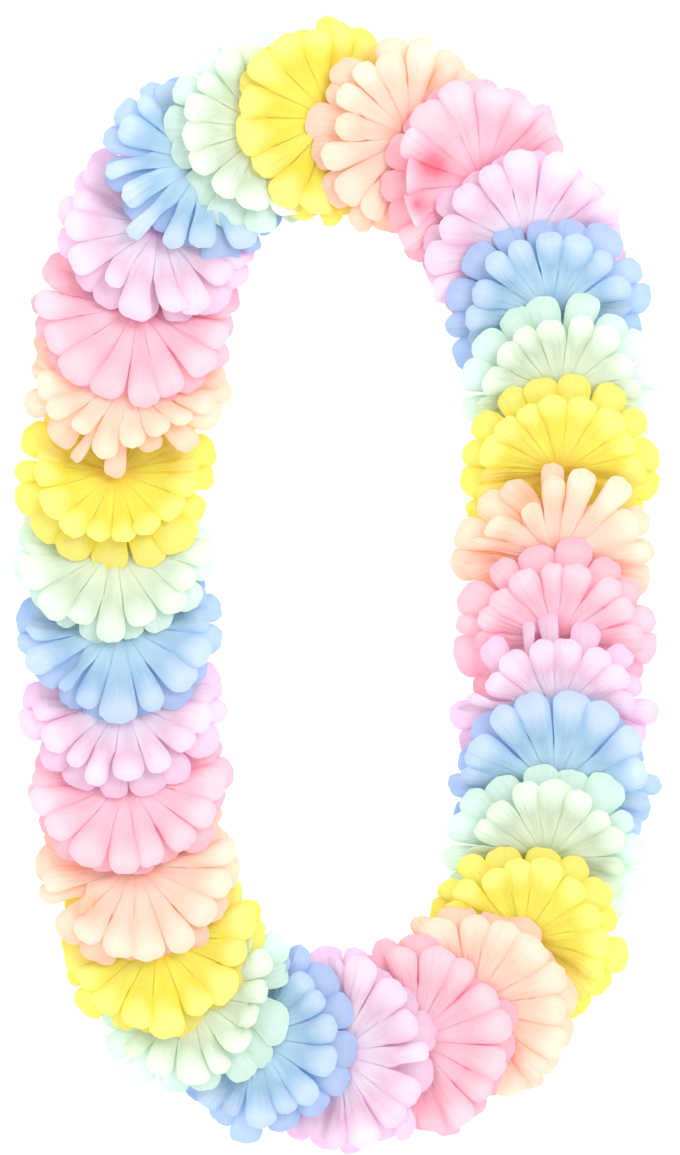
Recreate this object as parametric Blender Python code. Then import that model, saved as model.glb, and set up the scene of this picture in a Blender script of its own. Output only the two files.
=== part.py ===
"""A fabric flower lei lying flat: petalled flowers on a knotted string, kept apart by straw spacers.

The table is at z = 0. The lei's long side runs along Y, and going clockwise, as seen from above,
each flower leans back over the one before it while its front petals lie under the next.
"""

import math

import bmesh
import bpy
import numpy as np
from mathutils import Vector

MM = 0.001

# The string's route round the loop, clockwise from the top, as (x, y) in millimetres
ROUTE_MM = (
    (-2, 186), (58, 161), (87, 101), (89, 34), (88, -32), (86, -98), (63, -161),
    (3, -188), (-58, -164), (-82, -101), (-86, -35), (-89, 31), (-82, 96), (-61, 161),
)
ROUTE_STEPS = 60

# Flowers, in the order in which their colours repeat
COLOURS = ("yellow", "peach", "pink", "lavender", "blue", "mint")
FLOWERS = 30
FIRST_FLOWER = 3.2 * MM
# How far each flower has slid back along the string from its even place, in millimetres
SLID_BACK_MM = (
    4, 3, 0, -2, 2, 1, 1, -3, -4, -3, -1, 2, 0, -3, 2,
    1, -1, -1, 4, 5, 1, 1, 2, 2, 3, -4, -1, -3, -3, 0,
)

# One flower's cut shape
FLOWER_RADIUS = 42 * MM
FABRIC_THICKNESS = 1.0 * MM
PETALS = 16
HUB_HOLE_RADIUS = 1.8 * MM
PINCHED_RADIUS = 7.5 * MM
SLIT_START_RADIUS = 22 * MM
SHOULDER_RADIUS = 38.5 * MM
# Half a petal's width at its shoulder, as a share of the pitch from petal to petal
SHOULDER_HALF_WIDTH = 0.42

# How a flower leans, as slopes from level: steep where the spacers pinch it, and easing outwards
HUB_SLOPE = math.radians(55)
HUB_SLOPE_REACH = 7 * MM
BACK_SLOPE = math.radians(14)
FRONT_SLOPE = math.radians(16)
FLAT_FROM = 33 * MM
SIDE_DROOP = 0.22
PROFILE_STEP = 0.1 * MM

# String and spacers
STRING_RADIUS = 0.6 * MM
STRING_SIDES = 6
STRING_RINGS = 96
KNOT_RADIUS = 1.7 * MM
TAIL_LENGTH = 7 * MM
TAIL_RISE = 0.35
STRAW_LENGTH = 20 * MM
STRAW_RADIUS = 2.5 * MM
STRAW_BORE_RADIUS = 2.0 * MM
STRAW_SIDES = 8

# Colour, roughness and metallic value of each material
MATERIALS = {
    "yellow": ((0.93, 0.80, 0.08), 0.75, 0.0),
    "peach": ((0.97, 0.66, 0.47), 0.75, 0.0),
    "pink": ((0.97, 0.54, 0.63), 0.75, 0.0),
    "lavender": ((0.84, 0.60, 0.82), 0.75, 0.0),
    "blue": ((0.36, 0.60, 0.87), 0.75, 0.0),
    "mint": ((0.71, 0.88, 0.62), 0.75, 0.0),
    "string": ((0.90, 0.88, 0.82), 0.8, 0.0),
    "straw": ((0.88, 0.90, 0.90), 0.3, 0.0),
}


def clear_scene():
    for old in list(bpy.data.objects):
        bpy.data.objects.remove(old, do_unlink=True)


def material(name):
    """The Principled material of that name, made on first use."""
    found = bpy.data.materials.get(name)
    if found:
        return found
    colour, roughness, metallic = MATERIALS[name]
    made = bpy.data.materials.new(name)
    made.use_nodes = True
    shader = made.node_tree.nodes["Principled BSDF"]
    shader.inputs["Base Color"].default_value = (*colour, 1.0)
    shader.inputs["Roughness"].default_value = roughness
    shader.inputs["Metallic"].default_value = metallic
    made.diffuse_color = (*colour, 1.0)
    return made


def add_object(name, mesh, finish, parent):
    """A named object with its own material slot, so that copies may share one mesh."""
    made = bpy.data.objects.new(name, mesh)
    bpy.context.scene.collection.objects.link(made)
    made.parent = parent
    if not mesh.materials:
        mesh.materials.append(None)
    made.material_slots[0].link = "OBJECT"
    made.material_slots[0].material = material(finish)
    return made


def finish_mesh(name, shape, smooth_angle):
    """Turns a bmesh into a mesh whose faces point out."""
    bmesh.ops.recalc_face_normals(shape, faces=shape.faces)
    mesh = bpy.data.meshes.new(name)
    shape.to_mesh(mesh)
    shape.free()
    mesh.shade_smooth()
    mesh.set_sharp_from_angle(angle=smooth_angle)
    return mesh


class Route:
    """A smooth closed curve through the route's points, read by distance along it."""

    def __init__(self, points):
        points = np.array(points, float)
        count = len(points)
        following = np.roll(points, -1, axis=0)
        before = np.roll(points, 1, axis=0)
        matrix = 4 * np.eye(count) + np.roll(np.eye(count), 1, axis=1) + np.roll(np.eye(count), -1, axis=1)
        slopes = np.linalg.solve(matrix, 3 * (following - before))
        t = np.linspace(0, 1, ROUTE_STEPS, endpoint=False)[:, None]
        pieces = []
        for i in range(count):
            j = (i + 1) % count
            pieces.append(
                (2 * t**3 - 3 * t**2 + 1) * points[i]
                + (t**3 - 2 * t**2 + t) * slopes[i]
                + (3 * t**2 - 2 * t**3) * points[j]
                + (t**3 - t**2) * slopes[j]
            )
        self.points = np.concatenate(pieces + [points[:1]])
        steps = np.linalg.norm(np.diff(self.points, axis=0), axis=1)
        self.distances = np.concatenate([[0.0], np.cumsum(steps)])
        self.length = float(self.distances[-1])

    def at(self, distance):
        """The point (x, y) at a distance along the route."""
        wrapped = distance % self.length
        return np.array([np.interp(wrapped, self.distances, self.points[:, k]) for k in (0, 1)])

    def direction(self, distance, reach=3 * MM):
        """The unit vector that points forward there."""
        ahead = self.at(distance + reach) - self.at(distance - reach)
        return ahead / np.linalg.norm(ahead)


class LeanProfile:
    """The side view of a flower: how far forward and how high a point is by its distance from the hub."""

    def __init__(self):
        reach = np.arange(0, FLOWER_RADIUS + PROFILE_STEP, PROFILE_STEP)
        pinch = HUB_SLOPE * np.exp(-((reach / HUB_SLOPE_REACH) ** 2))
        front = pinch + FRONT_SLOPE * np.clip(1 - reach / FLAT_FROM, 0, 1)
        front[reach >= FLAT_FROM] = 0
        back = pinch + BACK_SLOPE
        half_steps = np.diff(reach)

        def run(angles, function):
            middle = (function(angles[1:]) + function(angles[:-1])) / 2
            return np.concatenate([[0.0], np.cumsum(middle * half_steps)])

        drop = run(front, np.sin)
        self.hub_height = FABRIC_THICKNESS / 2 + float(drop[-1])
        self.distances = np.concatenate([-reach[:0:-1], reach])
        self.forward = np.concatenate([-run(back, np.cos)[:0:-1], run(front, np.cos)])
        self.height = self.hub_height + np.concatenate([run(back, np.sin)[:0:-1], -drop])
        self.slopes = np.concatenate([back[:0:-1], front])

    def read(self, distance):
        """Forward reach, height and slope at a signed distance from the hub."""
        return (
            float(np.interp(distance, self.distances, self.forward)),
            float(np.interp(distance, self.distances, self.height)),
            float(np.interp(distance, self.distances, self.slopes)),
        )


def flower_point(profile, radius, turn, side):
    """Where a point of the cut disc lies. +Y is forward along the string, and side is 1 above and -1 below."""
    along, across = radius * math.cos(turn), radius * math.sin(turn)
    forward, height, slope = profile.read(along)
    rest = FABRIC_THICKNESS / 2
    height = rest + (height - rest) * (1 - SIDE_DROOP * (across / FLOWER_RADIUS) ** 2)
    shift = side * FABRIC_THICKNESS / 2
    return Vector((across, forward + shift * math.sin(slope), height + shift * math.cos(slope)))


def flower_mesh(profile):
    """One closed sheet with a hub hole, a pinched ring and slit petals."""
    pitch = 2 * math.pi / PETALS
    shape = bmesh.new()

    def ring(radius, offset, side):
        return [
            shape.verts.new(flower_point(profile, radius, (i + offset) * pitch, side))
            for i in range(PETALS)
        ]

    sheets = []
    for side in (1, -1):
        sheets.append({
            "hole": ring(HUB_HOLE_RADIUS, -0.5, side),
            "pinch": ring(PINCHED_RADIUS, -0.5, side),
            "root": ring(SLIT_START_RADIUS, -0.5, side),
            "left": ring(SHOULDER_RADIUS, -SHOULDER_HALF_WIDTH, side),
            "right": ring(SHOULDER_RADIUS, SHOULDER_HALF_WIDTH, side),
            "tip": ring(FLOWER_RADIUS, 0, side),
        })
    above, below = sheets
    for i in range(PETALS):
        j = (i + 1) % PETALS
        for sheet in sheets:
            for inner, outer in (("hole", "pinch"), ("pinch", "root")):
                shape.faces.new((sheet[inner][i], sheet[outer][i], sheet[outer][j], sheet[inner][j]))
            shape.faces.new((sheet["root"][i], sheet["left"][i], sheet["right"][i], sheet["root"][j]))
            shape.faces.new((sheet["left"][i], sheet["tip"][i], sheet["right"][i]))
        rim = [("root", i), ("left", i), ("tip", i), ("right", i), ("root", j)]
        for (name, at), (next_name, next_at) in zip(rim, rim[1:]):
            shape.faces.new((above[name][at], above[next_name][next_at], below[next_name][next_at], below[name][at]))
        shape.faces.new((above["hole"][i], above["hole"][j], below["hole"][j], below["hole"][i]))
    bmesh.ops.triangulate(shape, faces=shape.faces)
    return finish_mesh("flower", shape, math.radians(40))


def tube_mesh(name, points, radius, sides, closed):
    """A round tube along points, either a closed loop or with flat ends."""
    shape = bmesh.new()
    rings = []
    count = len(points)
    for i, point in enumerate(points):
        before = points[(i - 1) % count] if closed or i else point
        after = points[(i + 1) % count] if closed or i < count - 1 else point
        ahead = (after - before).normalized()
        across = ahead.cross(Vector((0, 0, 1))).normalized()
        up = across.cross(ahead)
        rings.append([
            shape.verts.new(point + radius * (across * math.cos(turn) + up * math.sin(turn)))
            for turn in (2 * math.pi * (k + 0.5) / sides for k in range(sides))
        ])
    for i in range(count if closed else count - 1):
        here, ahead_ring = rings[i], rings[(i + 1) % count]
        for k in range(sides):
            m = (k + 1) % sides
            shape.faces.new((here[k], here[m], ahead_ring[m], ahead_ring[k]))
    if not closed:
        shape.faces.new(rings[0])
        shape.faces.new(rings[-1])
    return finish_mesh(name, shape, math.radians(50))


def straw_mesh():
    """A short piece of straw along Y, open at both ends, about its own middle."""
    shape = bmesh.new()
    walls = []
    for radius in (STRAW_RADIUS, STRAW_BORE_RADIUS):
        for end in (-0.5, 0.5):
            walls.append([
                shape.verts.new((radius * math.cos(turn), end * STRAW_LENGTH, radius * math.sin(turn)))
                for turn in (2 * math.pi * (k + 0.5) / STRAW_SIDES for k in range(STRAW_SIDES))
            ])
    outer_back, outer_front, bore_back, bore_front = walls
    for k in range(STRAW_SIDES):
        m = (k + 1) % STRAW_SIDES
        for one, other in (
            (outer_back, outer_front), (outer_front, bore_front), (bore_front, bore_back), (bore_back, outer_back),
        ):
            shape.faces.new((one[k], one[m], other[m], other[k]))
    return finish_mesh("straw", shape, math.radians(50))


def add_string(route, height, knot_at, parent):
    """The loop of string, united with its knot and the knot's two cut tails."""
    points = [
        Vector((*route.at(route.length * i / STRING_RINGS), height)) for i in range(STRING_RINGS)
    ]
    string = add_object("string", tube_mesh("string", points, STRING_RADIUS, STRING_SIDES, True), "string", parent)
    middle = Vector((*route.at(knot_at), height))
    ahead = Vector((*route.direction(knot_at), 0))
    across = Vector((ahead.y, -ahead.x, 0))
    ball = bmesh.new()
    bmesh.ops.create_icosphere(ball, subdivisions=2, radius=KNOT_RADIUS)
    bmesh.ops.translate(ball, verts=ball.verts, vec=middle)
    cutters = [finish_mesh("knot_ball", ball, math.radians(50))]
    for sign in (1, -1):
        tail_way = (sign * across + 0.5 * ahead + Vector((0, 0, TAIL_RISE))).normalized()
        tail = [middle + tail_way * TAIL_LENGTH * share for share in (0.1, 1.0)]
        cutters.append(tube_mesh("knot_tail", tail, 0.8 * STRING_RADIUS, STRING_SIDES, False))
    for mesh in cutters:
        joined = add_object(f"{mesh.name}_shape", mesh, "string", parent)
        joined.hide_render = True
        joined.display_type = "WIRE"
        union = string.modifiers.new(mesh.name, "BOOLEAN")
        union.operation = "UNION"
        union.solver = "EXACT"
        union.object = joined
    return string


def turn_to(direction):
    """The angle about Z that turns +Y to a direction."""
    return math.atan2(-direction[0], direction[1])


def build():
    clear_scene()
    lei = bpy.data.objects.new("lei", None)
    bpy.context.scene.collection.objects.link(lei)
    route = Route([(x * MM, y * MM) for x, y in ROUTE_MM])
    profile = LeanProfile()
    hubs = [
        FIRST_FLOWER + i * route.length / FLOWERS - slid * MM for i, slid in enumerate(SLID_BACK_MM)
    ]

    petals = flower_mesh(profile)
    placed = []
    for i, hub in enumerate(hubs):
        colour = COLOURS[i % len(COLOURS)]
        flower = add_object(f"flower_{i + 1:02d}_{colour}", petals, colour, lei)
        flower.location = (*route.at(hub), 0)
        flower.rotation_euler.z = turn_to(route.direction(hub))
        placed.append(flower)

    straw = straw_mesh()
    for i in range(FLOWERS - 1):
        start, end = route.at(hubs[i]), route.at(hubs[i + 1])
        spacer = add_object(f"straw_spacer_{i + 1:02d}", straw, "straw", lei)
        spacer.location = (*route.at((hubs[i] + hubs[i + 1]) / 2), profile.hub_height)
        spacer.rotation_euler.z = turn_to(end - start)

    knot_at = (hubs[-1] - route.length + hubs[0]) / 2
    add_string(route, profile.hub_height, knot_at, lei)

    # The finished lei is centred over the origin
    bpy.context.view_layer.update()
    corners = np.array([f.matrix_world @ v.co for f in placed for v in f.data.vertices])
    centre = (corners.min(axis=0) + corners.max(axis=0)) / 2
    lei.location = (-centre[0], -centre[1], 0)
    bpy.context.view_layer.update()


build()
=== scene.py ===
"""The looks of a fabric flower lei: thirty two-layer flowers on a knotted string with straw spacers.

Going clockwise, as seen from above, each flower leans back over the one before it, and its
front petals lie under the next. In a flower's own frame +Y is forward along the string and
+X is the inner side of the loop.
"""

import math
import random

import bpy
import numpy as np
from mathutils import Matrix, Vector


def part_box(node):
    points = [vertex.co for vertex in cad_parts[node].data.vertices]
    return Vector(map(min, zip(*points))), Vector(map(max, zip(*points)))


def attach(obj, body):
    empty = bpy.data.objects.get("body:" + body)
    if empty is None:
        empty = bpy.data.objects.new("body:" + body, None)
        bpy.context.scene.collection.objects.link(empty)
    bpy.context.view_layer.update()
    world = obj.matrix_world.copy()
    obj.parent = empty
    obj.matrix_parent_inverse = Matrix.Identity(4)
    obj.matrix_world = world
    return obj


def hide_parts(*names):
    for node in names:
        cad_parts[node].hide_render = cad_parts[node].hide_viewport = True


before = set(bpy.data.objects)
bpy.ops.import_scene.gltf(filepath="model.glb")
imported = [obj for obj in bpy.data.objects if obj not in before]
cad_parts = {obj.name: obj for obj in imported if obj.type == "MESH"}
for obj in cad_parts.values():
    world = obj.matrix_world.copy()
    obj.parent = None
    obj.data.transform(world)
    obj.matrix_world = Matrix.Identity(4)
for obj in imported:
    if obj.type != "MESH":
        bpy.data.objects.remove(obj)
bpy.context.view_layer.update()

MM = 0.001

# The photograph's frame: one of its pixels on the table, and the point of the route at its middle
PHOTO_HEIGHT_PIXELS = 1155
PIXEL = 0.40 * MM
VIEW_CENTRE_MM = (1.4, 2.6)
VIEW_HEIGHT = 15 * MM
CAMERA_DISTANCE = 1.6
SENSOR = 36.0

# The string's route round the loop, clockwise from the top, as (x, y) in millimetres
ROUTE_MM = (
    (-2, 186), (58, 161), (87, 101), (89, 34), (88, -32), (86, -98), (63, -161),
    (3, -188), (-58, -164), (-82, -101), (-86, -35), (-89, 31), (-82, 96), (-61, 161),
)
ROUTE_STEPS = 60

# Flowers, in the order in which their colours repeat
COLOURS = ("yellow", "peach", "pink", "lavender", "blue", "mint")
FLOWERS = 30
FIRST_FLOWER = 3.2 * MM
SLID_BACK_MM = (
    4, 3, 0, -2, 2, 1, 1, -3, -4, -3, -1, 2, 0, -3, 2,
    1, -1, -1, 4, 5, 1, 1, 2, 2, 3, -4, -1, -3, -3, 0,
)

# One fabric layer's cut shape
PETALS = 16
PITCH = 2 * math.pi / PETALS
HUB_HOLE = 1.8 * MM
PETAL_END = 42 * MM
CLOTH_THICKNESS = 0.2 * MM

# How each flower's two layers lie: the turn of the front's and of the rear's petals, in degrees from
# straight back and towards the loop's outer side; how far the front layer is cupped, and how open its
# slits are, both from 0 to 1
LAYERS = (
    (10, -1, 0.15, 0.10), (8, 10, 0.50, 0.80), (6, -2, 0.10, 0.50), (-1, 10, 0.10, 0.80),
    (-11, 6, 0.75, 0.90), (-5, 14, 0.90, 0.20), (-5, 8, 0.90, 0.15), (16, 16, 0.20, 1.00),
    (-4, 8, 0.80, 0.50), (9, -2, 1.00, 0.60), (6, -6, 0.15, 0.80), (-4, 8, 0.90, 0.40),
    (-2, 10, 0.80, 0.30), (-4, 8, 0.15, 0.40), (-10, 3, 0.10, 0.70), (0, 11, 0.20, 0.70),
    (-3, 6, 0.70, 0.70), (0, 10, 0.75, 0.50), (14, 3, 0.30, 0.30), (3, -9, 0.20, 0.70),
    (7, -4, 0.25, 0.70), (-4, 8, 0.60, 0.60), (1, -9, 0.20, 0.90), (4, -8, 0.30, 0.40),
    (11, 0, 1.00, 0.10), (9, -2, 0.30, 0.80), (10, -1, 0.10, 0.60), (-1, 12, 0.35, 0.60),
    (-5, 8, 0.30, 0.90), (-12, -2, 0.70, 0.20),
)

# Petals that lie unlike the rest. For each flower's number, as many of: the layer, the petal's angle as
# above, its reach from the hub in mm, its width against the others, and how far it is bent up and
# rolled about its length in degrees
ODD_PETALS = {
    2: (("front", -14, 32, 1.0, 10, 5), ("rear", 24, 42, 0.85, 0, 0)),
    3: (("front", -17, 40, 1.0, 70, 10), ("front", -40, 38, 1.1, 95, 5), ("front", -63, 38, 1.0, 80, -8),
        ("rear", -24, 41, 1.0, 0, 0), ("rear", -47, 41, 1.0, 5, 0), ("rear", -69, 40, 1.0, 0, 8)),
    8: (("front", -4, 35, 0.80, 5, 14), ("front", 16, 39, 0.86, 4, 0), ("front", 39, 43, 0.76, 0, 0),
        ("front", -27, 28, 1.0, 40, -20), ("front", -57, 34, 1.0, 40, 10), ("front", -76, 36, 0.8, 10, 30),
        ("rear", -5, 40, 0.85, 0, 0), ("rear", 16, 37, 0.75, 0, 0), ("rear", 39, 38, 0.65, 0, 0),
        ("rear", -33, 38, 1.0, 10, 0)),
    10: (("rear", -3, 43, 0.50, 8, 12), ("rear", 19, 41, 0.80, 4, 0), ("rear", 45, 40, 0.78, 4, 0),
         ("rear", 67, 37, 0.8, 0, 0), ("rear", -18, 41, 0.40, 10, 30), ("rear", -42, 42, 0.85, 8, 10),
         ("rear", -62, 43, 0.45, 20, 35), ("rear", -80, 40, 0.6, 10, 25), ("front", -75, 38, 0.5, 20, 40)),
    16: (("front", -23, 36, 1.0, 5, 12), ("front", -4, 38, 0.8, 20, 40), ("rear", 44, 45, 0.85, 0, 0)),
    18: (("front", -4, 33, 1.0, 35, 25), ("front", -25, 31, 1.0, 40, 20), ("front", -45, 33, 0.9, 30, 0),
         ("front", 20, 35, 0.9, 10, 10), ("front", 40, 37, 0.9, 5, 5),
         ("rear", -27, 42, 1.0, 0, 0), ("rear", -7, 42.5, 0.95, 0, 0), ("rear", 10, 42, 0.95, 0, 0)),
    20: (("front", 63, 30, 0.8, 10, 30), ("rear", 70, 41, 0.4, 10, 45), ("rear", 84, 41, 0.8, 0, 0)),
    22: (("front", -4, 34, 1.0, 20, 0), ("front", 18, 37, 0.8, 5, 30)),
    23: (("front", 44, 36, 0.8, 25, -45), ("front", 24, 37, 0.9, 5, 15)),
    24: (("front", 4, 39.5, 1.0, -6, 0), ("front", -19, 35, 1.0, 5, 8), ("front", 28, 35, 1.0, 5, -8)),
    26: (("front", 8, 36, 1.0, 15, -8), ("front", -13, 32, 1.1, 40, 10), ("front", -37, 31, 1.15, 45, -12),
         ("front", -60, 33, 1.0, 25, 20), ("front", 31, 32, 0.9, 35, -15), ("front", 54, 36, 1.0, 15, 10),
         ("rear", -2, 42, 0.60, 4, 10), ("rear", 22, 41, 0.40, 8, -35), ("rear", 39, 40, 1.0, 0, 0),
         ("rear", -26, 33, 0.9, 0, 0), ("rear", -49, 40, 0.9, 0, 0), ("rear", -72, 41, 1.0, 0, 0)),
    28: (("front", -6, 40.5, 0.85, 0, 0), ("front", -29, 37, 0.95, 10, 5), ("front", 17, 33, 1.0, 25, 0)),
    29: (("front", -5, 43, 0.55, 12, 20), ("front", -28, 38.5, 0.76, 10, 0), ("front", -48, 36, 0.85, 10, 8),
         ("front", 14, 37, 0.9, 30, 30), ("front", 34, 40, 0.7, 15, -25), ("front", 62, 37, 1.0, 10, 15),
         ("rear", -15, 34, 0.8, 0, 0), ("rear", 7, 38, 0.9, 12, -20), ("rear", -38, 35, 0.8, 0, 0)),
}

# Painted shade in deep hollows. For each flower's number, as many of: the layer, the angle and the
# distance from the hub as above, the shaded spot's radius in mm, and how much painted shade it takes
DEEP_SHADES = {
    1: (("front", 58, 26, 6, 0.7),),
    3: (("front", -27, 19, 7, 2.0), ("front", -66, 27, 4, 1.6)),
    4: (("front", -65, 24, 6, 0.6),),
    8: (("rear", -24, 28, 6, 0.9),),
    15: (("rear", 70, 30, 6, 0.7),),
    20: (("front", 63, 26, 6, 0.9),),
    23: (("front", 42, 28, 6, 0.6),),
}

# How a flower leans, as slopes from level: steep where the spacers pinch it, and easing outwards
HUB_SLOPE = math.radians(32)
HUB_SLOPE_REACH = 5 * MM
BACK_SLOPE = math.radians(16)
FRONT_SLOPE = math.radians(25)
FLAT_FROM = 33 * MM
SIDE_DROOP = 0.22
TABLE_GAP = 0.3 * MM
# The back of a flower rises like a dome, and turns to its slope at the rim between these distances
DROOP_FROM = 10 * MM
DROOP_AT = 42 * MM
RIM_SLOPE = math.radians(-8)
# Nothing stands higher than the top height, and what would come near it is eased down
EASED_FROM = 29 * MM
TOP_HEIGHT = 34.5 * MM

# How unevenly the petals are cut: slits' angles and petals' sway in pitches, slits' roots, lengths and widths
SLIT_SHIFT = 0.11
SWAY = 0.10
ROOT_SHIFT = (-3 * MM, 2 * MM)
SHORTEST_SIDE = 2 * MM
LENGTH_CHANGE = (-0.08, 0.035)
BREADTH_CHANGE = (-0.06, 0.08)
# How square each petal's tip is, and how far its edge wanders in and out
ROUNDNESS = (1.8, 2.8)
EDGE_NICKS = 0.22 * MM

# How the cloth lies: how much of a petal's crown goes on towards the hub, how the crowns differ, where
# petals start to bend, and how many waves go round the rim and round the gathered middle
INNER_CROWN = 0.12
CROWN_CHANGE = 0.8
BEND_FROM = 0.6
RUFFLE_ORDERS = (2, 3, 5, 7)
GATHER_ORDERS = (4, 7, 9, 12)

# Mesh grid of a petal: columns across it, rows from the hub to the slits' roots, and rows beyond them
FRONT_GRID = (12, 6, 12)
REAR_GRID = (12, 4, 9)


def linear(hex_colour):
    """A linear colour from the hexadecimal colour that a screen shows."""
    parts = [int(hex_colour[i:i + 2], 16) / 255 for i in (0, 2, 4)]
    return tuple(p / 12.92 if p <= 0.04045 else ((p + 0.055) / 1.055) ** 2.4 for p in parts)


# Each fabric's colours near the hub, half-way out and at the petals' tips, and its painted shade colour for the slits,
# creases and hub. Deeper near the hub is painted shade from the layers stacked over it; paler at the tips is a painted
# highlight
DYES_AND_PAINTED_SHADE = {
    "yellow": ("F6F264", "F2EA56", "F9F3A2", "FADA3C"),
    "peach": ("FBE6DC", "FBE2D2", "FDEEE4", "FABE9A"),
    "pink": ("FADCE8", "FAD2DE", "FCE4EA", "F898B4"),
    "lavender": ("F3ECF5", "ECD6E4", "F5EAF2", "E8A8D6"),
    "blue": ("CCE8F2", "B4D6E8", "DCE8F2", "8AB2E4"),
    "mint": ("EEF3E0", "DEE7D6", "F0F6EC", "CAE0BA"),
}
# The rear layers' colours, a little darker and more saturated than the front's: painted shade from the front layer
# over them
REAR_DYES_AND_PAINTED_SHADE = {
    "yellow": ("F4EE5A", "F3E952", "F6F094", "F8D434"),
    "peach": ("FADECC", "FADCC6", "FCE6DA", "F8B28A"),
    "pink": ("F9CEDC", "F9CAD8", "FBDAE3", "F68CAA"),
    "lavender": ("F0DEF0", "ECD2E6", "F3E2EF", "E29CD0"),
    "blue": ("BADAEE", "B0CEEA", "CCDCF2", "80A4E0"),
    "mint": ("E4F1E0", "D9EDDC", "E8F5EE", "BEE0C2"),
}


class Route:
    """A smooth closed curve through the route's points, read by distance along it."""

    def __init__(self, points):
        points = np.array(points, float)
        count = len(points)
        following = np.roll(points, -1, axis=0)
        before = np.roll(points, 1, axis=0)
        matrix = 4 * np.eye(count) + np.roll(np.eye(count), 1, axis=1) + np.roll(np.eye(count), -1, axis=1)
        slopes = np.linalg.solve(matrix, 3 * (following - before))
        t = np.linspace(0, 1, ROUTE_STEPS, endpoint=False)[:, None]
        pieces = []
        for i in range(count):
            j = (i + 1) % count
            pieces.append(
                (2 * t**3 - 3 * t**2 + 1) * points[i]
                + (t**3 - 2 * t**2 + t) * slopes[i]
                + (3 * t**2 - 2 * t**3) * points[j]
                + (t**3 - t**2) * slopes[j]
            )
        self.points = np.concatenate(pieces + [points[:1]])
        steps = np.linalg.norm(np.diff(self.points, axis=0), axis=1)
        self.distances = np.concatenate([[0.0], np.cumsum(steps)])
        self.length = float(self.distances[-1])

    def at(self, distance):
        """The point (x, y) at a distance along the route."""
        wrapped = distance % self.length
        return np.array([np.interp(wrapped, self.distances, self.points[:, k]) for k in (0, 1)])

    def direction(self, distance, reach=3 * MM):
        """The unit vector that points forward there."""
        ahead = self.at(distance + reach) - self.at(distance - reach)
        return ahead / np.linalg.norm(ahead)


def smooth_step(value, start, end):
    """0 below start, 1 above end, and an even S between them."""
    t = np.clip((value - start) / (end - start), 0, 1)
    return t * t * (3 - 2 * t)


class LeanProfile:
    """The side view of a flower: forward reach, height and slope by signed distance from the hub."""

    STEP = 0.1 * MM

    def __init__(self, back_slope, rim_slope):
        reach = np.arange(0, 1.25 * PETAL_END, self.STEP)
        pinch = HUB_SLOPE * np.exp(-((reach / HUB_SLOPE_REACH) ** 2))
        front = pinch + FRONT_SLOPE * np.clip(1 - reach / FLAT_FROM, 0, 1)
        front[reach >= FLAT_FROM] = 0
        back = pinch + back_slope + (rim_slope - back_slope) * smooth_step(reach, DROOP_FROM, DROOP_AT)

        def run(angles, function):
            middle = (function(angles[1:]) + function(angles[:-1])) / 2
            return np.concatenate([[0.0], np.cumsum(middle * self.STEP)])

        drop = run(front, np.sin)
        self.hub_height = 0.5 * MM + float(drop[-1])
        self.distances = np.concatenate([-reach[:0:-1], reach])
        self.forward = np.concatenate([-run(back, np.cos)[:0:-1], run(front, np.cos)])
        self.height = self.hub_height + np.concatenate([run(back, np.sin)[:0:-1], -drop])
        self.slopes = np.concatenate([back[:0:-1], front])

    def read(self, distance):
        """Forward reach, height and slope at signed distances from the hub."""
        return (
            np.interp(distance, self.distances, self.forward),
            np.interp(distance, self.distances, self.height),
            np.interp(distance, self.distances, self.slopes),
        )


class LayerGrid:
    """The vertices and faces of one fabric layer: a ring of petal sectors that part at the slits."""

    def __init__(self, columns, disc_rows, petal_rows):
        even = np.linspace(-1, 1, columns + 1)
        across = 0.5 * even + 0.5 * np.sin(np.pi / 2 * even)
        ring = PETALS * columns
        petal, row, column = [], [], []
        for j in range(disc_rows + 1):
            for s in range(ring):
                petal.append(s // columns)
                row.append(j)
                column.append(s % columns)
        disc_count = len(petal)
        for k in range(PETALS):
            for j in range(petal_rows):
                for c in range(columns + 1):
                    petal.append(k)
                    row.append(disc_rows + 1 + j)
                    column.append(c)
        self.petal = np.array(petal)
        self.across = across[np.array(column)]
        self.in_disc = np.clip(np.array(row) / disc_rows, 0, 1)
        self.in_petal = np.clip((np.array(row) - disc_rows) / petal_rows, 0, 1)

        def disc(j, s):
            return j * ring + s % ring

        def free(k, j, c):
            return disc_count + (k * petal_rows + j) * (columns + 1) + c

        faces = []
        for j in range(disc_rows):
            for s in range(ring):
                faces.append((disc(j, s), disc(j + 1, s), disc(j + 1, s + 1), disc(j, s + 1)))
        for k in range(PETALS):
            for c in range(columns):
                s = k * columns + c
                faces.append((disc(disc_rows, s), free(k, 0, c), free(k, 0, c + 1), disc(disc_rows, s + 1)))
                for j in range(petal_rows - 1):
                    faces.append((free(k, j, c), free(k, j + 1, c), free(k, j + 1, c + 1), free(k, j, c + 1)))
        self.faces = faces


def flat_area(grid, x, y):
    """The area of a layer as it was cut, from its flat coordinates."""
    corners = np.array(grid.faces)
    px, py = x[corners], y[corners]
    return float(abs((px * np.roll(py, -1, axis=1) - np.roll(px, -1, axis=1) * py).sum(axis=1)).sum() / 2)


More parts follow.
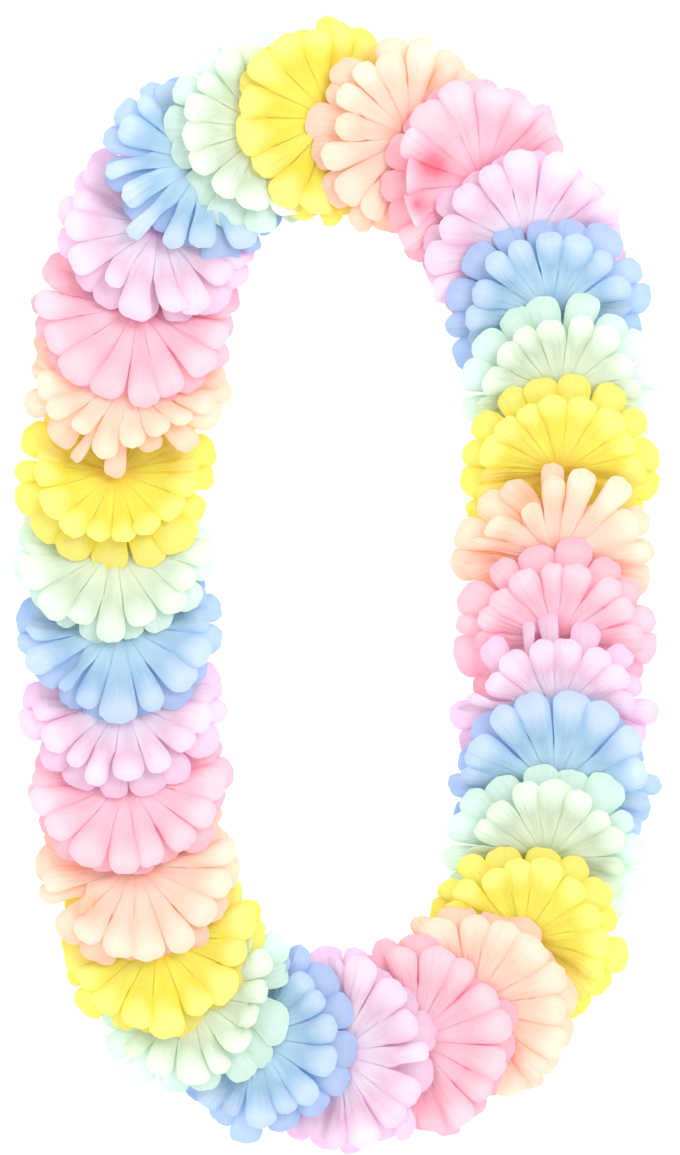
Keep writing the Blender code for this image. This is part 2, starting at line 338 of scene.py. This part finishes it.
class Cut:
    """How one fabric layer was cut, and each point's place in that flat shape."""

    def __init__(self, grid, draws, look):
        self.draws = draws
        self.petal = grid.petal
        self.across = grid.across
        before, after = self.petal, (self.petal + 1) % PETALS
        self.near_before = np.clip(-self.across, 0, 1) ** 2
        self.near_after = np.clip(self.across, 0, 1) ** 2
        self.before, self.after = before, after

        # Slits at uneven angles and depths, and petals of uneven length and width
        slit_shift = self.each(-SLIT_SHIFT, SLIT_SHIFT)
        first = (self.petal - 0.5 + slit_shift[before]) * PITCH
        last = (self.petal + 0.5 + slit_shift[after]) * PITCH
        roots = look["slit_root"] + self.each(*ROOT_SHIFT)
        reach = look["radius"] * (1 + self.each(*LENGTH_CHANGE))
        sway = self.each(-SWAY, SWAY)
        self.breadth = 1 + self.each(*BREADTH_CHANGE)
        self.slit_depth = self.each(0.1, 1.0)
        self.lift = self.like_neighbours(look["lift"], look["evenness"])
        self.roll = np.radians(self.each(-1, 1) * look["roll"] * look["evenness"])
        self.bend = np.radians(self.like_neighbours(look["bend"], look["evenness"]))
        for angle, odd_reach, odd_breadth, odd_bend, odd_roll in look["odd"]:
            place = (math.radians(angle) - look["turn"]) / PITCH
            k = round(place) % PETALS
            sway[k] = place - round(place)
            reach[k] = odd_reach * MM
            self.breadth[k] = odd_breadth
            self.bend[k] = math.radians(odd_bend)
            self.roll[k] = math.radians(odd_roll)

        # The rounded outline, and how far out each point lies: 0 at the slits' roots, 1 at the petal's shoulder
        tip = look["tip_length"] * (1 + self.each(-0.25, 0.15))
        room = reach - tip - SHORTEST_SIDE
        roots = np.minimum(roots, np.minimum(room, np.roll(room, 1)))
        self.root = roots[before] + (roots[after] - roots[before]) * (1 + self.across) / 2
        self.end = reach[self.petal]
        shoulder = self.end - tip[self.petal]
        roundness = self.each(*ROUNDNESS)[self.petal]
        rounding = np.clip(1 - np.abs(self.across) ** roundness, 0, 1) ** 0.5
        nicks = EDGE_NICKS * np.sin(self.across * self.each(5, 11)[self.petal] + self.each(-3, 3)[self.petal])
        outline = shoulder + (self.end - shoulder) * rounding + nicks
        self.radius = HUB_HOLE + (self.root - HUB_HOLE) * grid.in_disc + (outline - self.root) * grid.in_petal
        self.parted = np.clip((self.radius - self.root) / (shoulder - self.root), 0, 1.3)

        # The slits open like mouths beyond their roots, and the petals' outer parts reach over each other
        mouth = self.by_side(self.each(0, 1) ** 2) * look["mouth"]
        reach_over = self.by_side(self.each(*look["reach_over"]))
        opening = np.exp(-((self.parted - 0.28) / 0.22) ** 2) * smooth_step(self.parted, 0, 0.12)
        change = reach_over * smooth_step(self.parted, 0.15, 0.85) - mouth * opening
        change += (self.breadth[self.petal] - 1) * smooth_step(self.parted, 0.05, 0.6)
        self.middle = (first + last) / 2 + sway[self.petal] * self.parted * PITCH
        self.half = (last - first) / 2 * self.across * (1 + change * np.abs(self.across))
        self.x = self.radius * np.sin(self.middle + self.half)
        self.y = self.radius * np.cos(self.middle + self.half)

    def each(self, low, high):
        """One even random draw for each petal, or for the slit before it."""
        return np.array([self.draws.uniform(low, high) for _ in range(PETALS)])

    def like_neighbours(self, limits, unlike):
        """Draws for each petal that follow its neighbours' where unlike is 0, and are its own where it is 1."""
        drawn = self.each(*limits)
        shared = (np.roll(drawn, 1) + drawn + np.roll(drawn, -1)) / 3
        return shared + (drawn - shared) * unlike

    def by_side(self, values):
        """Each point's value from the nearer of its petal's two slits."""
        return np.where(self.across < 0, values[self.before], values[self.after])


def layer_relief(cut, look):
    """How far each point stands off the plain disc, apart from what a petal's roll and bend do."""
    radius, across, petal = cut.radius, cut.across, cut.petal
    free = smooth_step(cut.parted, 0, 0.6)

    # Each petal is crowned, dips at its slits, and is creased along its length
    hump = 1 - np.abs(across) ** cut.each(1.8, 3.2)[petal] * cut.by_side(cut.slit_depth)
    crown = 1 + CROWN_CHANGE * cut.each(-1, 1)[petal] * free
    grown = INNER_CROWN * smooth_step(radius, 4 * MM, 14 * MM) + (1 - INNER_CROWN) * smooth_step(radius, 14 * MM, 32 * MM)
    relief = look["crown"] * grown * crown * hump
    crease = np.sin(across * cut.each(2.5, 5.0)[petal] + cut.each(-3, 3)[petal]) * (1 - across**2)
    relief += look["crease"] * crease * smooth_step(radius, 12 * MM, 28 * MM)

    # At every slit one petal's edge lies over the other's
    over = np.where(cut.each(-1, 1) < look["order"], -1.0, 1.0)
    over *= 0.35 + 0.65 * cut.slit_depth
    stacked = cut.near_before * over[cut.before] - cut.near_after * over[cut.after]
    relief += look["edge_lift"] * stacked * smooth_step(cut.parted, 0, 0.35)
    relief += free * cut.lift[petal]
    return relief + (radius / look["radius"]) ** 2 * look["bowl"]


def layer_points(grid, draws, look):
    """A layer's points in the flower's own frame, what its material reads at each of them, and its flat size."""
    cut = Cut(grid, draws, look)
    relief = layer_relief(cut, look)
    radius = cut.radius

    # A petal rolls about its own length and bends up or down towards its tip
    rolled = cut.roll[cut.petal] * smooth_step(cut.parted, 0, 0.8)
    relief += radius * cut.half * np.sin(rolled)
    turn = cut.middle + cut.half * np.cos(rolled)
    bend_from = BEND_FROM * cut.end
    past = np.clip(radius - bend_from, 0, None)
    arc = cut.bend[cut.petal] * past / (cut.end - bend_from)
    reach = radius - past + past * np.sinc(arc / np.pi)
    relief += past * np.where(np.abs(arc) > 1e-6, (1 - np.cos(arc)) / np.where(arc == 0, 1, arc), 0)

    # The lean, with the disc turned so that petal 0 points straight back
    turn = turn + math.pi + look["turn"]
    ruffle = sum(a * np.sin(n * turn + p) for n, a, p in zip(RUFFLE_ORDERS, look["ruffle"], look["phases"]))
    relief += (radius / PETAL_END) ** 2 * ruffle
    gathers = sum(np.sin(n * turn + 2 * p) for n, p in zip(GATHER_ORDERS, look["phases"]))
    relief += look["gather"] * gathers * smooth_step(radius, 2 * MM, 14 * MM) * (1 - smooth_step(radius, 20 * MM, 38 * MM))
    along, sideways = reach * np.cos(turn), reach * np.sin(turn)
    forward, height, slope = look["profile"].read(along)
    height = TABLE_GAP + (height - TABLE_GAP) * (1 - SIDE_DROOP * (sideways / PETAL_END) ** 2)
    pressed = 1 - 0.7 * smooth_step(along, -5 * MM, 20 * MM)
    raise_by = look["offset"] + relief * pressed
    points = np.stack([
        sideways,
        forward + raise_by * np.sin(slope),
        height + raise_by * np.cos(slope),
    ], axis=1)
    points[:, 2] = between_table_and_top(points[:, 2])

    # Painted shade: how much of the shade colour each point takes, broadly between the petals, sharply at the slits, a
    # little along the rims, and most round the hub where the layers over it shade it
    beside = np.abs(cut.across)
    depth = (0.3 * beside**2 + 0.9 * beside**9) * cut.by_side(cut.slit_depth)
    free_part = smooth_step(cut.parted, 0.3, 0.8)
    painted_shade = depth * smooth_step(radius, 10 * MM, 23 * MM) * (1 - 0.5 * smooth_step(cut.parted, 0.2, 0.9))
    rim = np.maximum(smooth_step(grid.in_petal, 0.75, 1.0), smooth_step(np.abs(cut.across), 0.75, 1.0) * free_part)
    painted_shade = np.maximum(painted_shade, 0.35 * rim) + 0.8 * (1 - smooth_step(radius, 4 * MM, 15 * MM))
    # Deep painted shade in the hollows listed for each flower
    for angle, out, size, much in look["deep_shades"]:
        bearing = math.radians(angle) + math.pi
        apart = np.hypot(points[:, 0] - out * MM * math.sin(bearing), points[:, 1] - out * MM * math.cos(bearing))
        painted_shade += much * np.exp(-((apart / (size * MM)) ** 2))
    marks = {
        "reach": radius / look["radius"],
        "across": cut.across,
        "tint": cut.each(0, 1)[cut.petal],
        "painted_shade": painted_shade,
        "cut_x": cut.x,
        "cut_y": cut.y,
    }
    return points, marks, flat_area(grid, cut.x, cut.y), float(cut.end.max())


def between_table_and_top(height):
    """Heights eased so that none comes under the table or over the height to which the pack pressed the lei."""
    height = height.copy()
    low = height < 2 * TABLE_GAP
    height[low] = TABLE_GAP + TABLE_GAP * np.exp((height[low] - 2 * TABLE_GAP) / TABLE_GAP)
    high = height > EASED_FROM
    room = TOP_HEIGHT - EASED_FROM
    height[high] = TOP_HEIGHT - room * np.exp((EASED_FROM - height[high]) / room)
    return height


def layer_object(name, grid, points, marks, finish):
    """A mesh object of one fabric layer, thickened to the cloth's thickness."""
    mesh = bpy.data.meshes.new(name)
    mesh.from_pydata(points.tolist(), [], grid.faces)
    for key, values in marks.items():
        mesh.attributes.new(key, "FLOAT", "POINT").data.foreach_set("value", values.astype(np.float32))
    mesh.shade_smooth()
    uses = np.bincount([loop.edge_index for loop in mesh.loops], minlength=len(mesh.edges))
    mesh.attributes.new("sharp_edge", "BOOLEAN", "EDGE").data.foreach_set("value", uses == 1)
    mesh.materials.append(finish)
    made = bpy.data.objects.new(name, mesh)
    bpy.context.scene.collection.objects.link(made)
    thick = made.modifiers.new("thickness", "SOLIDIFY")
    thick.thickness = CLOTH_THICKNESS
    thick.offset = 0
    return made


class Nodes:
    """A short way to write a material's nodes."""

    def __init__(self, name):
        self.material = bpy.data.materials.new(name)
        self.material.use_nodes = True
        self.tree = self.material.node_tree
        self.tree.nodes.clear()
        self.output = self.tree.nodes.new("ShaderNodeOutputMaterial")

    def add(self, kind, inputs=(), **settings):
        """A node with its settings, and with each named or numbered input linked or set."""
        node = self.tree.nodes.new("ShaderNode" + kind)
        for key, value in settings.items():
            setattr(node, key, value)
        for key, value in dict(inputs).items():
            if isinstance(value, bpy.types.NodeSocket):
                self.tree.links.new(value, node.inputs[key])
            else:
                node.inputs[key].default_value = value
        return node

    def mark(self, name):
        """What a fabric layer stores at each of its points under that name."""
        return self.add("Attribute", attribute_type="GEOMETRY", attribute_name=name).outputs["Fac"]

    def maths(self, operation, first, second=0.0):
        return self.add("Math", {0: first, 1: second}, operation=operation).outputs[0]

    def sum_of(self, *terms):
        """The sum of values that are each multiplied by a number."""
        total = self.maths("MULTIPLY", *terms[0])
        for value, much in terms[1:]:
            total = self.maths("ADD", total, self.maths("MULTIPLY", value, much))
        return total

    def ramp(self, factor, stops):
        node = self.add("ValToRGB", {"Fac": factor})
        elements = node.color_ramp.elements
        while len(elements) < len(stops):
            elements.new(0.5)
        for element, (place, colour) in zip(elements, stops):
            element.position = place
            element.color = (*colour, 1.0)
        return node.outputs["Color"]

    def mix(self, factor, first, second, blend_type="MIX"):
        node = self.add("Mix", data_type="RGBA", blend_type=blend_type)
        for key, value in ((0, factor), (6, first), (7, second)):
            if isinstance(value, bpy.types.NodeSocket):
                self.tree.links.new(value, node.inputs[key])
            else:
                node.inputs[key].default_value = value
        return node.outputs[2]


WEAVE_THREAD = 0.45 * MM
WEAVE_DEPTH = 0.04 * MM
# How fast the raised veins follow each other across a petal, in radians for half its width
VEIN_TURNS = 11.0
VEIN_DEPTH = 0.03 * MM
CREASE_DEPTH = 0.6 * MM
# How much light the thin cloth lets through, how far the painted shade goes over to its shade colour, and from what
# amount of painted shade that colour darkens it further
TRANSLUCENCY = 0.62
PAINTED_SHADE_SHARE = 0.65
DEEPEST_SHADE_FROM = 1.2


def thread(n, place, direction):
    """The weave's threads in one direction, from 0 between them to 1 on top."""
    return n.add("TexWave", {"Vector": place, "Scale": 0.314 / WEAVE_THREAD}, bands_direction=direction).outputs["Fac"]


def fabric_material(name, dyes_and_painted_shade):
    """Soft woven petal cloth: a colour that deepens towards the hub and the slits as painted shade and pales at the
    tips as a painted highlight, with threads and fine creases.
    """
    n = Nodes(name)
    near_hub, halfway, tips, shade_colour = (linear(d) for d in dyes_and_painted_shade)
    reach, across, tint = n.mark("reach"), n.mark("across"), n.mark("tint")
    cut = n.add("CombineXYZ", {"X": n.mark("cut_x"), "Y": n.mark("cut_y")}).outputs[0]

    blotch = n.add("TexNoise", {"Vector": cut, "Scale": 110.0, "Detail": 2.0}).outputs["Fac"]
    uneven = n.maths("MULTIPLY_ADD", blotch, 0.24)
    uneven.node.inputs[2].default_value = -0.12
    # Each petal's sides lean to the hub's deeper colour and its middle to the tips' paler one: painted shade at the
    # sides, a painted highlight along the middle
    edge = n.maths("POWER", n.maths("ABSOLUTE", across), 2.0)
    outward = n.maths("SUBTRACT", n.maths("ADD", reach, uneven), n.maths("MULTIPLY", edge, 0.16))
    # Painted shade towards the hub, a painted highlight towards the tips
    colour = n.ramp(outward, [(0.34, near_hub), (0.58, halfway), (0.82, tips)])

    # Painted shade: the slits, creases, rims and hub go over to the shade colour, and where the painted shade is
    # deepest the shade colour darkens it further by multiplying; each petal took a little less or more dye
    painted_shade = n.mark("painted_shade")
    colour = n.mix(n.maths("MULTIPLY", painted_shade, PAINTED_SHADE_SHARE), colour, (*shade_colour, 1.0))
    deepest_shade = n.add("MapRange", {"Value": painted_shade, 1: DEEPEST_SHADE_FROM, 2: DEEPEST_SHADE_FROM + 1.0}).outputs[0]
    colour = n.mix(deepest_shade, colour, (*shade_colour, 1.0), "MULTIPLY")
    pale = n.add("MapRange", {"Value": tint, 3: 0.0, 4: 0.30}).outputs[0]
    colour = n.mix(pale, colour, (*tips, 1.0))

    # Threads of the weave, and veins and creases that run along each petal
    weave = n.maths("MULTIPLY", thread(n, cut, "X"), thread(n, cut, "Y"))
    # The tops of the weave's threads are painted a little whiter: a painted highlight
    colour = n.mix(n.maths("MULTIPLY", weave, 0.10), colour, (1.0, 1.0, 1.0, 1.0))
    lengthwise = n.add("CombineXYZ", {
        "X": n.maths("MULTIPLY", across, 2.2),
        "Y": n.maths("MULTIPLY", reach, 1.6),
        "Z": n.maths("MULTIPLY", tint, 9.0),
    }).outputs[0]
    creases = n.add("TexNoise", {"Vector": lengthwise, "Scale": 1.6, "Detail": 2.0}).outputs["Fac"]
    veins = n.maths("COSINE", n.sum_of((creases, 4.0), (across, VEIN_TURNS)))
    crease_growth = n.add("MapRange", {"Value": reach, 1: 0.2, 2: 0.5}).outputs[0]
    height = n.sum_of(
        (weave, WEAVE_DEPTH), (veins, VEIN_DEPTH), (n.maths("MULTIPLY", creases, crease_growth), CREASE_DEPTH),
    )
    bump = n.add("Bump", {"Height": height, "Strength": 1.0, "Distance": 1.0})

    rough = n.add("MapRange", {"Value": blotch, 3: 0.62, 4: 0.85}).outputs[0]
    cloth = n.add("BsdfPrincipled", {
        "Base Color": colour, "Roughness": rough, "Normal": bump.outputs[0],
        "Sheen Weight": 0.25, "Sheen Roughness": 0.4, "Specular IOR Level": 0.25,
    })
    through = n.add("BsdfTranslucent", {"Color": colour, "Normal": bump.outputs[0]})
    both = n.add("MixShader", {0: TRANSLUCENCY, 1: cloth.outputs[0], 2: through.outputs[0]})
    n.tree.links.new(both.outputs[0], n.output.inputs["Surface"])
    return n.material


def straw_material():
    """Milky extruded plastic with faint fine marks in its surface."""
    n = Nodes("milky_straw")
    place = n.add("TexCoord").outputs["Object"]
    cloud = n.add("TexNoise", {"Vector": place, "Scale": 300.0, "Detail": 2.0}).outputs["Fac"]
    colour = n.ramp(cloud, [(0.3, linear("E9EEF0")), (0.7, linear("F7F8F6"))])
    rough = n.add("MapRange", {"Value": cloud, 3: 0.28, 4: 0.42}).outputs[0]
    fine = n.add("TexNoise", {"Vector": place, "Scale": 2500.0}).outputs["Fac"]
    bump = n.add("Bump", {"Height": fine, "Strength": 0.2, "Distance": 0.05 * MM})
    shell = n.add("BsdfPrincipled", {"Base Color": colour, "Roughness": rough, "Normal": bump.outputs[0]})
    n.tree.links.new(shell.outputs[0], n.output.inputs["Surface"])
    return n.material


def string_material():
    """Pale cotton string."""
    n = Nodes("cotton_string")
    place = n.add("TexCoord").outputs["Object"]
    fibres = n.add("TexNoise", {"Vector": place, "Scale": 1800.0, "Detail": 4.0}).outputs["Fac"]
    colour = n.ramp(fibres, [(0.3, linear("DCD5C3")), (0.7, linear("F4F0E6"))])
    rough = n.add("MapRange", {"Value": fibres, 3: 0.75, 4: 0.95}).outputs[0]
    bump = n.add("Bump", {"Height": fibres, "Strength": 0.5, "Distance": 0.1 * MM})
    shell = n.add("BsdfPrincipled", {"Base Color": colour, "Roughness": rough, "Normal": bump.outputs[0]})
    n.tree.links.new(shell.outputs[0], n.output.inputs["Surface"])
    return n.material


def route_shift(route):
    """How far the route moved when the CAD centred the lei."""
    low, high = (np.array(corner[:2]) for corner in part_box("string"))
    return (low + high) / 2 - (route.points.min(axis=0) + route.points.max(axis=0)) / 2


def flower_look(index, rear, phases):
    """The numbers that shape one layer of one flower."""
    front_turn, rear_turn, cup, opened = LAYERS[index]
    look = {
        "phases": phases,
        "odd": [odd[1:] for odd in ODD_PETALS.get(index + 1, ()) if (odd[0] == "rear") == rear],
        "deep_shades": [deep_shade[1:] for deep_shade in DEEP_SHADES.get(index + 1, ()) if (deep_shade[0] == "rear") == rear],
        "ruffle": (0.9 * MM, 0.7 * MM, 0.5 * MM, 0.4 * MM),
        "gather": 0.28 * MM,
        "crease": 0.28 * MM,
        "crown": 0.36 * MM,
        "edge_lift": 0.28 * MM,
        "order": random.Random(index).choice((-0.7, 0.7)),
        "roll": 6,
    }
    if rear:
        look.update({
            "turn": math.radians(rear_turn),
            "radius": 42 * MM,
            "slit_root": 23 * MM,
            "mouth": 0.08,
            "reach_over": (-0.06, 0.06),
            "tip_length": 6.0 * MM,
            "lift": (-0.8 * MM, 0.2 * MM),
            "bend": (-12, 4),
            "evenness": 0.6,
            "bowl": 0.0,
            "offset": -1.0 * MM,
            "profile": LeanProfile(BACK_SLOPE, RIM_SLOPE),
        })
    else:
        look.update({
            "turn": math.radians(front_turn),
            "radius": (41.5 - 8 * cup) * MM,
            "slit_root": (27 - 9 * opened - 3 * cup) * MM,
            "mouth": 0.03 + 0.12 * opened,
            "reach_over": (-0.01 - 0.08 * opened, 0.11 - 0.05 * opened),
            "tip_length": (4.8 + 2.0 * opened) * MM,
            "lift": (-0.2 * MM, 0.8 * MM),
            "bend": (-9, 14),
            "evenness": 0.25 + 0.75 * opened,
            "bowl": (0.3 + 1.6 * cup) * MM,
            "offset": 0.7 * MM,
            "profile": LeanProfile(BACK_SLOPE + math.radians(1), RIM_SLOPE + math.radians(2 + 14 * cup)),
        })
    return look


def add_flowers(route, shift):
    """The two fabric layers of every flower, in place of their CAD nodes."""
    finishes = {}
    for colour in COLOURS:
        finishes[colour, False] = fabric_material(f"{colour}_fabric_front", DYES_AND_PAINTED_SHADE[colour])
        # The rear layers take a shaded copy of the fabric: their colours hold painted shade
        finishes[colour, True] = fabric_material(f"{colour}_fabric_rear_shaded", REAR_DYES_AND_PAINTED_SHADE[colour])
    grids = {False: LayerGrid(*FRONT_GRID), True: LayerGrid(*REAR_GRID)}
    names = [f"flower_{i + 1:02d}_{COLOURS[i % len(COLOURS)]}" for i in range(FLOWERS)]
    for i, node in enumerate(names):
        colour = COLOURS[i % len(COLOURS)]
        hub = FIRST_FLOWER + i * route.length / FLOWERS - SLID_BACK_MM[i] * MM
        place = route.at(hub) + shift
        ahead = route.direction(hub)
        inner = np.array([ahead[1], -ahead[0]])
        flower_draws = random.Random(i)
        phases = [flower_draws.uniform(0, 2 * math.pi) for _ in range(4)]
        for rear in (True, False):
            draws = random.Random(1000 * i + rear)
            grid = grids[rear]
            look = flower_look(i, rear, phases)
            points, marks, area, reach = layer_points(grid, draws, look)
            world = points.copy()
            world[:, :2] = place + points[:, :1] * inner + points[:, 1:2] * ahead
            name = f"{node}_{'rear' if rear else 'front'}_petals"
            piece = layer_object(name, grid, world, marks, finishes[colour, rear])
            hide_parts(node)
            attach(piece, "root")


def dress_hard_parts():
    """Materials for the straws and the string, which keep their CAD shape."""
    straw, string = straw_material(), string_material()
    for name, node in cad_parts.items():
        if name.startswith("straw_spacer"):
            for slot in node.material_slots:
                slot.material = straw
        elif name == "string":
            for slot in node.material_slots:
                slot.material = string


def add_camera(shift):
    """Straight down, framed as the photograph is."""
    data = bpy.data.cameras.new("camera")
    data.sensor_width = SENSOR
    data.lens = SENSOR * CAMERA_DISTANCE / (PHOTO_HEIGHT_PIXELS * PIXEL)
    data.clip_start = 0.05
    camera = bpy.data.objects.new("camera", data)
    camera.location = (
        VIEW_CENTRE_MM[0] * MM + shift[0], VIEW_CENTRE_MM[1] * MM + shift[1], VIEW_HEIGHT + CAMERA_DISTANCE,
    )
    bpy.context.scene.collection.objects.link(camera)
    bpy.context.scene.camera = camera


FLOOR_SIZE = 6.0
# The table is lit a little from below, as a light table is
FLOOR_GLOW = 0.35
SKY_STRENGTH = 1.6
KEY_POWER = 18.0
KEY_SIZE = 1.0
KEY_PLACE = (0.9, 0.8, 1.6)


def add_studio():
    """A white floor, an even white sky and one broad soft light from the upper right."""
    scene = bpy.context.scene
    scene.view_settings.view_transform = "Standard"
    scene.cycles.diffuse_bounces = 5
    world = bpy.data.worlds.new("studio")
    world.use_nodes = True
    sky = world.node_tree.nodes["Background"]
    sky.inputs["Color"].default_value = (1, 1, 1, 1)
    sky.inputs["Strength"].default_value = SKY_STRENGTH
    scene.world = world

    mesh = bpy.data.meshes.new("floor")
    half = FLOOR_SIZE / 2
    mesh.from_pydata([(-half, -half, 0), (half, -half, 0), (half, half, 0), (-half, half, 0)], [], [(0, 1, 2, 3)])
    n = Nodes("floor_white")
    white = n.add("BsdfPrincipled", {
        "Base Color": (0.93, 0.93, 0.93, 1), "Roughness": 0.9, "Specular IOR Level": 0.0,
        "Emission Color": (1, 1, 1, 1), "Emission Strength": FLOOR_GLOW,
    })
    n.tree.links.new(white.outputs[0], n.output.inputs["Surface"])
    mesh.materials.append(n.material)
    floor = bpy.data.objects.new("floor", mesh)
    scene.collection.objects.link(floor)

    light = bpy.data.lights.new("key", "AREA")
    light.shape = "DISK"
    light.size = KEY_SIZE
    light.energy = KEY_POWER
    key = bpy.data.objects.new("key", light)
    key.location = KEY_PLACE
    key.rotation_euler = Vector(KEY_PLACE).to_track_quat("Z", "Y").to_euler()
    scene.collection.objects.link(key)


route = Route([(x * MM, y * MM) for x, y in ROUTE_MM])
shift = route_shift(route)
add_camera(shift)
add_studio()
add_flowers(route, shift)
dress_hard_parts()
